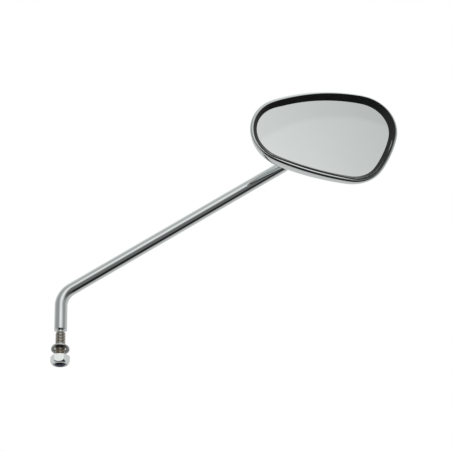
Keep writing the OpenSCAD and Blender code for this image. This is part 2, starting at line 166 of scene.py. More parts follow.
def stud_rings():
    """Rings of the stud from its end, up the thread and the relief, to the bar's shoulder.

    The radius is the least of the thread, a 45 degree chamfer at the end and a 45 degree cone
    that runs down into the relief.
    """
    a, circle = around(ROUND_COLS)
    thread_top = -RELIEF_L - RUNOUT_L
    z = np.concatenate([
        [-STUD_L, -STUD_L],
        np.arange(-STUD_L + HAIR, thread_top - 2 * HAIR, PITCH / PITCH_ROWS),
        np.linspace(thread_top, -RELIEF_L, CONE_ROWS),
        [-HAIR, -TOUCH],
    ])[:, None]
    chamfer = CREST_R - END_CHAMFER + z + STUD_L
    run_out = RELIEF_R + np.maximum(-RELIEF_L - z, 0)
    r = np.minimum(threaded(z, a), np.minimum(chamfer, run_out))
    r[0] = HAIR / 2
    return np.concatenate([r[..., None] * circle, np.broadcast_to(z[..., None], r.shape + (1,))], -1)


def bar_rings():
    """Rings of the bar from its rounded shoulder, round both bends, to the neck inside the ball.

    The upper corner is where the ball's axis meets the plane of the run, and the lower one is
    where the run meets the stud's axis. A shoulder's round is a quarter of a circle.
    """
    run = unit(np.array([TIP_DIR[0], 0, TIP_DIR[2]]))
    tip_end = BALL_AT - TIP_DIR * NECK_L
    tip_corner = tip_end - TIP_DIR * tip_end[1] / TIP_DIR[1]
    foot_corner = UP * (tip_corner[2] - tip_corner[0] * run[2] / run[0])
    corners = [np.zeros(3), foot_corner, tip_corner, tip_end]
    points, ways = bent_path(corners, [LOWER_BEND_R, TIP_BEND_R])
    points, ways = points[1:-1], ways[1:-1]
    a = np.linspace(0, math.pi / 2, ROUND_ROWS)
    fall = SHOULDER_ROUND * (1 - np.cos(a))
    rise = SHOULDER_ROUND * (1 - np.sin(a))
    radii = np.concatenate([ROD_R - rise, np.full(len(points), ROD_R), ROD_R - fall, [NECK_R] * 2])
    points = np.vstack([
        fall[:, None] * UP,
        points,
        tip_end - rise[:, None] * TIP_DIR,
        tip_end,
        tip_end + TIP_DIR * (NECK_L - NECK_IN_BALL),
    ])
    ways = np.vstack([[UP] * ROUND_ROWS, ways, [TIP_DIR] * (ROUND_ROWS + 2)])
    return along_path(points, ways, radii, np.array([1.0, 0, 0]))


def skin(name, grid, wrap_rows=False, sharp=40):
    """Closed mesh through a grid of points in mm, rows x columns x 3, sharp past an angle.

    The columns close on themselves. The rows do too, or else each end is closed by a fan to the
    mean of its row. The signed volume, the sum of a . (b x c) / 6 over the triangles, says which
    way the faces point, and they are turned if it is negative.
    """
    rows, cols = grid.shape[:2]
    r = np.arange(rows if wrap_rows else rows - 1)[:, None]
    c = np.arange(cols)[None, :]
    above, beside = (r + 1) % rows, (c + 1) % cols
    quads = np.stack([r * cols + c, r * cols + beside, above * cols + beside, above * cols + c], -1)
    quads = quads.reshape(-1, 4)
    points = grid.reshape(-1, 3)
    fans = np.zeros((0, 3), int)
    if not wrap_rows:
        points = np.vstack([points, grid[0].mean(0), grid[-1].mean(0)])
        first, last = rows * cols, rows * cols + 1
        c, beside = np.arange(cols), (np.arange(cols) + 1) % cols
        top = (rows - 1) * cols
        fans = np.vstack([
            np.stack([np.full(cols, first), beside, c], 1),
            np.stack([np.full(cols, last), top + c, top + beside], 1),
        ])
    triangles = np.vstack([quads[:, [0, 1, 2]], quads[:, [0, 2, 3]], fans])
    a, b, c = (points[triangles[:, k]] for k in range(3))
    if np.einsum("ij,ij->i", a, np.cross(b, c)).sum() < 0:
        quads, fans = quads[:, ::-1], fans[:, ::-1]
    mesh = bpy.data.meshes.new(name)
    mesh.from_pydata((points * MM).tolist(), [], quads.tolist() + fans.tolist())
    mesh.shade_smooth()
    mesh.set_sharp_from_angle(angle=math.radians(sharp))
    piece = bpy.data.objects.new(name, mesh)
    scene.collection.objects.link(piece)
    return piece


class Socket:
    """A node's output. Arithmetic on it and a number or another output adds Math nodes."""

    def __init__(self, finish, port):
        self.finish = finish
        self.port = port

    def _math(self, operation, *values):
        inputs = dict(enumerate(values))
        return self.finish.node("ShaderNodeMath", {"operation": operation}, inputs)

    def __add__(self, other):
        return self._math("ADD", self, other)

    def __sub__(self, other):
        return self._math("SUBTRACT", self, other)

    def __rsub__(self, other):
        return self._math("SUBTRACT", other, self)

    def __mul__(self, other):
        return self._math("MULTIPLY", self, other)

    def __lt__(self, other):
        return self._math("LESS_THAN", self, other)

    __radd__ = __add__
    __rmul__ = __mul__


class Finish:
    """A material or world built from nodes. shader is its Principled BSDF, where it has one."""

    def __init__(self, name, world=False):
        self.data = (bpy.data.worlds if world else bpy.data.materials).new(name)
        self.data.use_nodes = True
        self.tree = self.data.node_tree
        self.shader = self.tree.nodes.get("Principled BSDF")

    def node(self, kind, settings=None, inputs=None, out=0):
        """Adds a node: its settings first, and then the values or links of its sockets."""
        node = self.tree.nodes.new(kind)
        for key, value in (settings or {}).items():
            setattr(node, key, value)
        self.feed(node, inputs or {})
        return Socket(self, node.outputs[out])

    def feed(self, node, inputs):
        """Links or sets the sockets of a node, by name or number."""
        for key, value in inputs.items():
            if isinstance(value, Socket):
                self.tree.links.new(value.port, node.inputs[key])
            else:
                node.inputs[key].default_value = value

    def place(self):
        """Object coordinates in mm."""
        at = self.node("ShaderNodeTexCoord", out="Object")
        return self.node("ShaderNodeVectorMath", {"operation": "SCALE"}, {0: at, "Scale": 1 / MM})

    def height(self, at):
        """The Z coordinate of a place."""
        return self.node("ShaderNodeSeparateXYZ", {}, {0: at}, out="Z")

    def from_axis(self, at):
        """Distance from the Z axis."""
        flat = self.node("ShaderNodeVectorMath", {"operation": "MULTIPLY"}, {0: at, 1: (1, 1, 0)})
        return self.node("ShaderNodeVectorMath", {"operation": "LENGTH"}, {0: flat}, out="Value")

    def ramp(self, value, low, high):
        """0 below low and 1 above high, straight between them."""
        return self.node("ShaderNodeMapRange", {}, {"Value": value, "From Min": low, "From Max": high})

    def grain(self, at, size, detail=3, stretch=(1, 1, 1)):
        """Noise from 0 to 1 whose features are about size mm, drawn out along an axis."""
        scaled = self.node("ShaderNodeMapping", {}, {"Vector": at, "Scale": [1 / s for s in stretch]})
        return self.node("ShaderNodeTexNoise", {}, {"Vector": scaled, "Scale": 1 / size, "Detail": detail})

    def mix(self, mask, a, b):
        """Colour a where the mask is 0 and b where it is 1. 6, 7 and 2 are the colour sockets."""
        a, b = (v if isinstance(v, Socket) else (*v, 1) for v in (a, b))
        return self.node("ShaderNodeMix", {"data_type": "RGBA"}, {0: mask, 6: a, 7: b}, out=2)

    def bump(self, height, depth):
        """Normal of a surface whose height from 0 to 1 stands for depth mm."""
        return self.node("ShaderNodeBump", {}, {"Height": height, "Distance": depth * MM, "Strength": 1})

    def wear(self, piece, slot=None):
        """Puts this finish on a piece; the slot it is given is not used."""
        piece.data.materials.clear()
        piece.data.materials.append(self.data)


washer_low, washer_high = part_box("mounting_washer")
WASHER_Z = (washer_low.z + washer_high.z) / 2 / MM
CHROME = (0.69, 0.73, 0.725)
# Thread tones: bright metal on the crests, and in the roots a nearly black brown, the thread's own brown
# deepened with painted shade
CREST_TONE = (0.82, 0.78, 0.70)
ROOT_TONE_AND_SHADE = (0.06, 0.048, 0.033)
# Painted shade on the stud between the washer and the nut: a dark brown, its share, and the height over
# which it fades in below the washer
UNDER_WASHER_SHADE = (0.36, 0.30, 0.23)
UNDER_WASHER_SHADE_SHARE = 0.8
UNDER_WASHER_SHADE_FADE = 1.5
# Depth below the crest at which the crest tone is full, and the noise between no scratch and a full one
CREST_BRIGHT = 0.05
SCRATCHED = (0.54, 0.62)


def rod_chrome():
    """Bright chrome with smears and fine scratches; brown in the thread, with painted shade in its roots
    and on the stud below the washer.
    """
    f = Finish("rod_chrome")
    at = f.place()
    z = f.height(at)
    thread = z < -RELIEF_L
    root = 1 - f.ramp(f.from_axis(at), CREST_R - THREAD_DEPTH / 2, CREST_R - CREST_BRIGHT)
    # Painted shade on the stud below the washer
    below = 1 - f.ramp(z, WASHER_Z - UNDER_WASHER_SHADE_FADE, WASHER_Z)
    # Painted shade: the root mask darkens the thread's roots to the root tone
    tone = f.mix(root, CREST_TONE, ROOT_TONE_AND_SHADE)
    tone = f.mix(below * UNDER_WASHER_SHADE_SHARE, tone, UNDER_WASHER_SHADE)
    smear = f.grain(at, size=14)
    scratch = f.ramp(f.grain(at, size=0.7, stretch=(14, 1, 2)), *SCRATCHED)
    f.feed(f.shader, {
        "Base Color": f.mix(thread, CHROME, tone),
        "Metallic": 1.0,
        "Roughness": 0.02 + smear * 0.02 + scratch * 0.12 + thread * (0.06 + root * 0.2),
        "Normal": f.bump(f.grain(at, size=0.6), depth=0.004),
    })
    return f


rod = skin("rod", np.vstack([stud_rings(), bar_rings()]))
rod_chrome().wear(rod, "rod_chrome")
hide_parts("stem_rod")
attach(rod, "rod")

# Washer. A stamped steel washer, zinc plated, with one edge rounded by the punch. It hangs
# loose on the stud and lies across it at an angle.
WASHER_R = washer_high.x / MM
WASHER_HOLE_R = 4.4
WASHER_T = 1.4
WASHER_TILT = math.radians(-13.5)
PUNCHED_ROUND = 0.4
HOLE_ROUND = 0.25
LOWER_ROUND = 0.15
RIM_W = 0.3
FACE_R = WASHER_R - 0.8
# Washer tones: dull zinc darkened with painted shade, darkest round the hole beside the stud, and a
# painted highlight along the rim
HOLE_SHADE_TONE = (0.14, 0.147, 0.14)
FACE_DULL_AND_SHADE_TONE = (0.30, 0.31, 0.305)
RIM_HIGHLIGHT_TONE = (0.62, 0.65, 0.64)


def rounded(corners, steps=6):
    """Section through (x, y, radius) corners, each turned into an arc of its radius.

    The arc is cut off where it would use up more than half of a side.
    """
    found = []
    for k, (x, y, r) in enumerate(corners):
        here = np.array([x, y], float)
        back = np.array(corners[k - 1][:2], float) - here
        ahead = np.array(corners[(k + 1) % len(corners)][:2], float) - here
        bend = math.pi - math.acos(np.clip(unit(back) @ unit(ahead), -1, 1))
        if r == 0 or bend < 1e-6:
            found.append(here)
            continue
        cut = min(r * math.tan(bend / 2), np.linalg.norm(back) / 2, np.linalg.norm(ahead) / 2)
        r = cut / math.tan(bend / 2)
        centre = here + unit(unit(back) + unit(ahead)) * math.hypot(r, cut)
        spoke = here + unit(back) * cut - centre
        side = np.sign(np.cross(here - centre, spoke)) or 1
        for a in np.linspace(0, bend, steps + 1) * -side:
            turn = np.array([[math.cos(a), -math.sin(a)], [math.sin(a), math.cos(a)]])
            found.append(centre + turn @ spoke)
    return np.array(found)


def turned(section):
    """A section in (radius, height) turned about Z, as a grid of one ring per point."""
    _, circle = around(ROUND_COLS)
    flat = section[:, None, :1] * circle[None]
    return np.concatenate([flat, np.broadcast_to(section[:, None, 1:], flat.shape[:2] + (1,))], -1)


def dull_zinc_painted_light():
    """Dulled zinc with painted light: satin faces darkened with painted shade, darkest round the hole, and
    a painted highlight at the rim.
    """
    f = Finish("washer_zinc_painted_light")
    at = f.place()
    level = f.node("ShaderNodeMapping", {"vector_type": "TEXTURE"}, {
        "Vector": at, "Location": (0, 0, WASHER_Z), "Rotation": (WASHER_TILT, 0, 0),
    })
    r = f.from_axis(level)
    fine = f.grain(at, size=0.35)
    # Painted shade on the faces, deepest at the hole, and a painted highlight at the rim
    face = f.mix(f.ramp(r, WASHER_HOLE_R, FACE_R), HOLE_SHADE_TONE, FACE_DULL_AND_SHADE_TONE)
    f.feed(f.shader, {
        "Base Color": f.mix(f.ramp(r, WASHER_R - RIM_W, WASHER_R - RIM_W / 3), face, RIM_HIGHLIGHT_TONE),
        "Metallic": 1.0,
        "Roughness": 0.2 + fine * 0.15,
        "Normal": f.bump(fine, depth=0.01),
    })
    return f


washer_section = rounded([
    (WASHER_HOLE_R, -WASHER_T / 2, LOWER_ROUND),
    (WASHER_R, -WASHER_T / 2, LOWER_ROUND),
    (WASHER_R, WASHER_T / 2, PUNCHED_ROUND),
    (WASHER_HOLE_R, WASHER_T / 2, HOLE_ROUND),
])
tilt = np.array(Matrix.Rotation(WASHER_TILT, 3, "X"))
washer = skin("washer", turned(washer_section) @ tilt.T + UP * WASHER_Z, wrap_rows=True)
dull_zinc_painted_light().wear(washer, "zinc")
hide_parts("mounting_washer")
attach(washer, "rod")

# Lock nut. A cold-formed hexagon nut, zinc plated: chamfered above, and rounded below into
# the collar that is rolled over the nylon ring.
nut_low, nut_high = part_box("lock_nut")
ring_low, ring_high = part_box("nut_insert")
NUT_TOP = nut_high.z / MM
NUT_LOW = nut_low.z / MM
NUT_FLAT_R = nut_high.y / MM
NUT_PLAY = 0.05
NUT_BORE_R = CREST_R + NUT_PLAY
NUT_FACE_R = 5.2
NUT_ROUND_R = 7.6
NUT_ROUND_H = 3.6
CHAMFER_R = 6.3
CHAMFER_H = 0.6
BORE_CHAMFER_W = 0.45
BORE_CHAMFER_H = 0.5
COLLAR_PLAY = 0.45
COLLAR_R = CREST_R + COLLAR_PLAY
COLLAR_ROUND = 0.1
RING_FIT = 0.02
RING_R = ring_high.x / MM
RING_LOW = ring_low.z / MM
RING_TOP = ring_high.z / MM
NUT_COLS = 144
# Where the rows lie on the chamfer, down a flat, and round below it, with crisp ends to each flat
CHAMFER_SHARES = (0, 0.5, 1)
FLAT_SHARES = (0.05, 0.35, 0.65, 0.95, 1)
ROUND_SHARES = np.linspace(0.9, 0, 12)
ZINC_DARK = (0.78, 0.82, 0.80)
ZINC_LIGHT = (0.85, 0.89, 0.87)
# Painted shade on the nut's bottom face
BOTTOM_SHADE_TONE = (0.34, 0.35, 0.37)


def nut_grid():
    """Rows from the bore's upper edge out, down the flats, round the collar and back up the bore.

    The hexagon's radius at angle a is flat / cos(a - nearest flat's angle), with corners on the
    X axis. Each column changes from the chamfer's cone to the flat, and from the flat to the
    ellipse below it, exactly where the turned outline crosses that radius.
    """
    a, circle = around(NUT_COLS)
    hexagon = NUT_FLAT_R / np.cos(a % (math.pi / 3) - math.pi / 6)
    cone_end = NUT_TOP - (hexagon - CHAMFER_R) * CHAMFER_H / (NUT_ROUND_R - CHAMFER_R)
    swing = np.arcsin((hexagon - NUT_FACE_R) / (NUT_ROUND_R - NUT_FACE_R))
    flat_end = NUT_LOW + NUT_ROUND_H * (1 - np.cos(swing))
    rows = [(NUT_BORE_R, NUT_TOP - BORE_CHAMFER_H), (NUT_BORE_R + BORE_CHAMFER_W, NUT_TOP)]
    for t in CHAMFER_SHARES:
        rows.append((CHAMFER_R + (hexagon - CHAMFER_R) * t, NUT_TOP + (cone_end - NUT_TOP) * t))
    for t in FLAT_SHARES:
        rows.append((hexagon, cone_end + (flat_end - cone_end) * t))
    for t in ROUND_SHARES:
        rows.append((
            NUT_FACE_R + (NUT_ROUND_R - NUT_FACE_R) * np.sin(swing * t),
            NUT_LOW + NUT_ROUND_H * (1 - np.cos(swing * t)),
        ))
    rows += [
        (COLLAR_R + COLLAR_ROUND, NUT_LOW),
        (COLLAR_R, NUT_LOW + COLLAR_ROUND),
        (COLLAR_R, RING_LOW - RING_FIT),
        (RING_R + RING_FIT, RING_LOW - RING_FIT),
        (RING_R + RING_FIT, RING_TOP + RING_FIT),
        (NUT_BORE_R, RING_TOP + RING_FIT),
    ]
    r, z = (np.array([np.broadcast_to(row[k], NUT_COLS) for row in rows]) for k in (0, 1))
    return np.concatenate([r[..., None] * circle, z[..., None]], -1)


def bright_zinc(name, shade_below=None):
    """Bright zinc on steel: pale, glossy, with fine tumbling marks; painted shade under a given height."""
    f = Finish(name)
    at = f.place()
    fine = f.grain(at, size=0.35)
    tone = f.mix(f.grain(at, size=5), ZINC_DARK, ZINC_LIGHT)
    if shade_below is not None:
        # Painted shade under the given height
        tone = f.mix(f.height(at) < shade_below, tone, BOTTOM_SHADE_TONE)
    f.feed(f.shader, {
        "Base Color": tone,
        "Metallic": 1.0,
        "Roughness": 0.03 + fine * 0.05,
        "Normal": f.bump(fine, depth=0.004),
    })
    return f


nut = skin("nut", nut_grid(), wrap_rows=True, sharp=24)
# The nut's bottom face, below the collar's rounding, takes painted shade
bright_zinc("nut_zinc", shade_below=NUT_LOW + 2 * HAIR).wear(nut, "zinc")
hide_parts("lock_nut")
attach(nut, "lock_nut")

# Nylon ring. Dark blue, pressed into the nut's collar; the stud forms its own thread in it,
# so that the nut can't shake loose.
RING_OUTER_ROUND = 0.1
RING_INNER_ROUND = 0.2
BLUE_DARK = (0.09, 0.115, 0.17)
BLUE_LIGHT = (0.14, 0.165, 0.23)


def nylon(name, dark, light):
    """Moulded nylon: even colour, a soft sheen and a slight mottle."""
    f = Finish(name)
    at = f.place()
    mottle = f.grain(at, size=1.5)
    f.feed(f.shader, {
        "Base Color": f.mix(mottle, dark, light),
        "Roughness": 0.4 + mottle * 0.1,
        "Normal": f.bump(f.grain(at, size=0.25), depth=0.01),
    })
    return f


ring_section = rounded([
    (NUT_BORE_R, RING_LOW, RING_INNER_ROUND),
    (RING_R, RING_LOW, RING_OUTER_ROUND),
    (RING_R, RING_TOP, RING_OUTER_ROUND),
    (NUT_BORE_R, RING_TOP, RING_INNER_ROUND),
])
nylon_ring = skin("nylon_ring", turned(ring_section), wrap_rows=True)
nylon("blue_nylon", BLUE_DARK, BLUE_LIGHT).wear(nylon_ring, "blue_nylon")
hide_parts("nut_insert")
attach(nylon_ring, "nut_insert")

# Shell. Pressed from thin steel as a domed teardrop, its edge rolled forward and inward to
# hold the seal, its back flat round the opening for the neck. Polished and chromed.
nodes = frame["nodes"]
ACROSS = unit(np.array(joint["head_tilt"]["axis"]))
HEAD_AXES = np.stack([ACROSS, UP, np.cross(ACROSS, UP)], axis=1)


def in_head(grid):
    """From the head's own frame, +Z out of the glass and +Y up, to the row frame."""
    return grid @ HEAD_AXES.T + BALL_AT


def node_in_head(name):
    """Distance from the ball's axis and depth, in the head's own frame, of a CAD node's points."""
    points = np.array([v.co for v in nodes[name].data.vertices]) / MM
    points = (points - BALL_AT) @ HEAD_AXES
    return np.linalg.norm(points[:, :2], axis=1), points[:, 2]


shell_r, shell_z = node_in_head("mirror_shell")
BACK_Z = shell_z.min()
RIM_Z = shell_z.max()
MOUTH_R = shell_r[shell_z < BACK_Z + HAIR].min()
FLAT_R = shell_r[shell_z < BACK_Z + HAIR].max()
# Outline of the glass: the normal's angle where each of its six arcs begins and where the last
# ends, four of their radii, and the place of the ball's axis from the centre of the nose's arc
ARC_FROM = [-35, -18, 79.5, 111, 246, 261, 325]
UPPER_R = 25
TOP_R = 131.5
NOSE_R = 24
LOWER_R = 21.5
BALL_FROM_NOSE = (14.2, 3.4)
FAIRING = 2.5
# The gap that the seal fills between the glass and the rolled edge, that edge, and the wall
SEAL_W = 2.4
BEAD_R = 2
BEAD_TAIL = 1.3
TAIL_START = 0.5
BEAD_Z = RIM_Z - BEAD_R
BEAD_MID = SEAL_W + BEAD_R
SHELL_T = 0.8
DOME_N = 1.8
MOUTH_ROUND = 0.15
# Columns along the edge and steps of its outline, rows of the dome and the bead, and of the flat
EDGE_COLS = 384
EDGE_STEPS = 7200
DOME_ROWS = 41
BEAD_ROWS = 24
FLAT_ROWS = (MOUTH_R + 0.6, MOUTH_R + 3, FLAT_R - 2)


def edge_points():
    """Points of the glass edge evenly spaced along it, and the outward normal at each.

    Six arcs meet at common tangents. The radii of the end and the belly close the chain, from
    sum of r * (cos b - cos a) = 0 and the same for sin. The support function h is the distance
    of the edge's tangent from the ball's axis, which for an arc about c is c . n + r. It is
    blurred with a Gaussian of FAIRING degrees, so that the curvature has no jumps. The point is
    h * n + h' * t, and the radius of curvature is h + h''.
    """
    turn = np.radians(ARC_FROM)
    steps = np.diff(np.stack([np.cos(turn), np.sin(turn)]), axis=1)
    radii = np.array([0, UPPER_R, TOP_R, NOSE_R, 0, LOWER_R], float)
    radii[[0, 4]] = np.linalg.solve(steps[:, [0, 4]], -steps @ radii)
    jumps = -np.diff(radii)[:, None] * np.stack([np.cos(turn[1:6]), np.sin(turn[1:6])], 1)
    centres = np.vstack([[0, 0], np.cumsum(jumps, axis=0)])
    centres -= centres[3] + BALL_FROM_NOSE

    a, n = around(EDGE_STEPS)
    arc = np.searchsorted(turn, (a - turn[0]) % (2 * math.pi) + turn[0], side="right") - 1
    waves = np.fft.rfftfreq(EDGE_STEPS, 1 / EDGE_STEPS)
    blur = np.exp(-0.5 * (waves * math.radians(FAIRING)) ** 2)
    spectrum = np.fft.rfft((centres[arc] * n).sum(1) + radii[arc]) * blur
    h, slope, bend = (np.fft.irfft(spectrum * (1j * waves) ** k) for k in range(3))

    length = np.concatenate([[0], np.cumsum(h + bend)])
    even = np.arange(EDGE_COLS) / EDGE_COLS * length[-1]
    at = np.interp(even, length, np.append(a, 2 * math.pi))
    h, slope = (np.interp(at, a, values, period=2 * math.pi)[:, None] for values in (h, slope))
    n = np.stack([np.cos(at), np.sin(at)], -1)
    t = np.stack([-np.sin(at), np.cos(at)], -1)
    return h * n + slope * t, n


EDGE, EDGE_N = edge_points()


def edge_ring(grow, z):
    """The glass edge moved outwards by grow along its normals, at depth z in the head's frame."""
    flat = EDGE + grow * EDGE_N
    return np.concatenate([flat, np.full((EDGE_COLS, 1), z)], 1)


def blended(grow, circle_r, share, z):
    """A ring part of the way from a circle about the ball's axis to the moved edge."""
    flat = EDGE + grow * EDGE_N
    circle = circle_r * unit(flat)
    return np.concatenate([circle * (1 - share) + flat * share, np.full((EDGE_COLS, 1), z)], 1)


def dome(inset):
    """Rings from the flat out to the rolled edge, inset by the wall or by nothing.

    The dome is a superellipse: depth sin(a) ** (2 / n) against a share cos(a) ** (2 / n) of the
    way from the flat's circle to the edge, with a just short of 0 and 90 degrees at the ends.
    """
    out = SEAL_W + 2 * BEAD_R - inset
    deep = BEAD_Z - BACK_Z - inset
    fall = np.radians(np.clip(np.linspace(90, 0, DOME_ROWS), TOUCH, 90 - TOUCH))
    return [
        blended(out, FLAT_R, math.cos(a) ** (2 / DOME_N), BEAD_Z - deep * math.sin(a) ** (2 / DOME_N))
        for a in fall
    ]


def bead(r):
    """Rings of the rolled edge: half a circle of radius r from the outside over the front."""
    roll = np.linspace(0, math.pi, BEAD_ROWS + 1)[1:]
    return [edge_ring(BEAD_MID + r * math.cos(a), BEAD_Z + r * math.sin(a)) for a in roll]


def shell_rows():
    """Rows from the flat out over the dome, round the rolled edge, back inside, and to the mouth.

    The circles of the mouth and the flat are (radius, depth). The mouth's outer edge is rounded.
    """
    tail_z = BEAD_Z - BEAD_TAIL
    tail = [
        edge_ring(SEAL_W + HAIR, BEAD_Z - TAIL_START),
        edge_ring(SEAL_W + HAIR, tail_z),
        edge_ring(SEAL_W + SHELL_T, tail_z),
    ]
    mouth = [
        (MOUTH_R + 2 * MOUTH_ROUND, BACK_Z + SHELL_T),
        (MOUTH_R, BACK_Z + SHELL_T),
        (MOUTH_R, BACK_Z + MOUTH_ROUND),
        (MOUTH_R + MOUTH_ROUND / 3, BACK_Z + MOUTH_ROUND / 3),
        (MOUTH_R + MOUTH_ROUND, BACK_Z),
        *[(r, BACK_Z) for r in FLAT_ROWS],
    ]
    outside = dome(0) + bead(BEAD_R) + tail
    inside = bead(BEAD_R - SHELL_T)[::-1] + dome(SHELL_T)[::-1]
    return np.array(outside + inside + [blended(0, r, 0, z) for r, z in mouth])


def shell_chrome():
    """Bright chrome over polished steel, with the faint waves of a pressed and buffed dome."""
    f = Finish("shell_chrome")
    at = f.place()
    f.feed(f.shader, {
        "Base Color": (*CHROME, 1),
        "Metallic": 1.0,
        "Roughness": 0.025 + f.grain(at, size=18) * 0.03,
        "Normal": f.bump(f.grain(at, size=9, detail=1), depth=0.01),
    })
    return f


shell = skin("shell", in_head(shell_rows()), wrap_rows=True, sharp=50)
shell_chrome().wear(shell, "shell_chrome")
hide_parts("mirror_shell")
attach(shell, "head")

# Seal. A black rubber moulding that grips the glass's edge. It rises from the glass in a broad
# slope to a crest that lies over the rolled edge, and its foot hooks behind that edge.
glass_z = node_in_head("mirror_glass")[1]
GLASS_FRONT = glass_z.max()
GLASS_BACK = glass_z.min()
GLASS_PLAY = 0.01
GLASS_GRIP = 1.25
LIP_T = 0.5
LIP_ROUND = 0.35
CREST_OVER = 0.6
CREST_W = 0.5
SEAL_FIT = 0.05
SEAL_ROUND = 0.3
SEAL_FOOT = 1.6
SEAL_FOOT_H = 1.3
FOOT_SLOPE = 0.4
SEAL_BACK_T = 0.8
SEAL_LAP = 1.5
SEAL_ARC_ROWS = 6
# The angles of the rolled edge's round, from the outside, where the crest ends at its most and least
COVER_MOST = 70
COVER_LEAST = 129
# How far the crest stands back, from 0 at its most to 1, at angles round the outline's middle
CREST_BACK = (
    (0, 0.22), (45, 0.32), (90, 0.52), (130, 0.8), (170, 1), (186, 0.3),
    (203, 0.15), (217, 0.7), (262, 0.8), (284, 0.6), (300, 0.1), (340, 0.05),
)
# At the nose the lip stands back from the outline too, round this angle and so far to each side
LIP_BACK = 0.9
LIP_BACK_AT = math.radians(168)
LIP_BACK_HALF = math.radians(26)
RUBBER_DARK = (0.006, 0.006, 0.007)
RUBBER_LIGHT = (0.014, 0.014, 0.015)


def seal_section(cover, lip_back=0):
    """Section of the seal: lip, slope, crest, down the rolled edge, foot and back lip.

    cover is the angle round the rolled edge, from its outer side, at which the crest ends, and
    lip_back is how far the lip stands back from the glass edge's outline.
    """
    wall = SEAL_W - SEAL_FIT
    foot = SEAL_W + SEAL_FOOT
    foot_top = BEAD_Z - BEAD_TAIL - 2 * SEAL_FIT
    foot_low = foot_top - SEAL_FOOT_H
    back = GLASS_BACK - SEAL_BACK_T
    crest = RIM_Z + CREST_OVER
    turn = np.radians(np.linspace(cover, 180, SEAL_ARC_ROWS))
    r = BEAD_R + SEAL_FIT
    on_bead = [(x, z, 0) for x, z in zip(BEAD_MID + r * np.cos(turn), BEAD_Z + r * np.sin(turn))]
    crest_out = on_bead[0][0]
    return rounded([
        (lip_back, GLASS_FRONT + GLASS_PLAY, 0),
        (lip_back, GLASS_FRONT + LIP_T, LIP_ROUND),
        (crest_out - CREST_W, crest, CREST_W),
        (crest_out, crest, SEAL_ROUND),
        *on_bead,
        (wall, foot_top, 0),
        (foot, foot_top, SEAL_ROUND),
        (foot, foot_low, SEAL_ROUND),
        (wall, foot_low - FOOT_SLOPE, 0),
        (wall, back, SEAL_ROUND),
        (-SEAL_LAP, back, SEAL_ROUND),
        (-SEAL_LAP, GLASS_BACK - GLASS_PLAY, 0),
        (GLASS_GRIP, GLASS_BACK - GLASS_PLAY, 0),
        (GLASS_GRIP, GLASS_FRONT + GLASS_PLAY, 0),
    ])


def seal_rows():
    """Rows of the seal, whose crest wanders: it covers most of the rolled edge at the broad end.

    Each row is a blend of three sections' rings: a + crest * (b - a) + lip * (c - b), with a at
    the most cover, b at the least, and c as b with the lip back. At angle v from the lip's
    middle its share is (cos v - cos w) / (1 - cos w) for a half width of w, and 0 beyond.
    """
    x, y = (EDGE - EDGE.mean(0)).T
    angle = np.arctan2(y, x)[:, None]
    crest = np.interp(np.degrees(angle), *np.transpose(CREST_BACK), period=360)
    edge = math.cos(LIP_BACK_HALF)
    lip = np.clip((np.cos(angle - LIP_BACK_AT) - edge) / (1 - edge), 0, 1)
    sections = seal_section(COVER_MOST), seal_section(COVER_LEAST), seal_section(COVER_LEAST, LIP_BACK)
    rows = []
    for points in zip(*sections):
        a, b, c = (edge_ring(*point) for point in points)
        rows.append(a + crest * (b - a) + lip * (c - b))
    return np.array(rows)


def black_rubber():
    """Moulded black rubber: nearly black, a satin skin and a fine mould texture."""
    f = Finish("black_rubber")
    at = f.place()
    fine = f.grain(at, size=0.3)
    f.feed(f.shader, {
        "Base Color": f.mix(f.grain(at, size=6), RUBBER_DARK, RUBBER_LIGHT),
        "Roughness": 0.32 + fine * 0.15,
        "Normal": f.bump(fine, depth=0.01),
    })
    return f


seal = skin("seal", in_head(seal_rows()), wrap_rows=True)
black_rubber().wear(seal, "black_rubber")
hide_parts("glass_seal")
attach(seal, "head")

# Glass. One piece of flat float glass, cut to the teardrop and silvered on its back. The seal
# grips its edge all round, and the foam behind presses it forward.
SILVER_DARK = (0.695, 0.73, 0.72)
SILVER_LIGHT = (0.725, 0.76, 0.75)


def silvered_glass():
    """A flat mirror, a touch green from the glass, with the faintest haze of dust."""
    f = Finish("mirror_glass")
    haze = f.grain(f.place(), size=30)
    f.feed(f.shader, {
        "Base Color": f.mix(haze, SILVER_DARK, SILVER_LIGHT),
        "Metallic": 1.0,
        "Roughness": 0.002 + haze * 0.006,
        "Coat Weight": 0.5,
    })
    return f


silvered_glass().wear(nodes["mirror_glass"])

# Behind the glass. A foam pad on a pressed fibre sheet carries it. A steel ring and a domed steel
# plate, drawn together by three screws with spring washers and nuts, clamp two nylon cups on the
# steel ball that is pressed on the rod's neck.
FOAM_TONES = (0.02, 0.02, 0.02), (0.06, 0.06, 0.06)
FIBRE_TONES = (0.10, 0.06, 0.03), (0.16, 0.10, 0.055)
STEEL_TONES = (0.30, 0.30, 0.30), (0.45, 0.45, 0.44)
CUP_TONES = (0.62, 0.60, 0.52), (0.72, 0.70, 0.62)


def grained(name, tones, size, metallic, roughness):
    """A plain inner finish: two tones mixed by a grain of the given size, rougher where light."""
    f = Finish(name)
    grain = f.grain(f.place(), size)
    f.feed(f.shader, {
        "Base Color": f.mix(grain, *tones),
        "Metallic": metallic,
        "Roughness": roughness + grain * 0.15,
        "Normal": f.bump(grain, depth=0.03),
    })
    return f


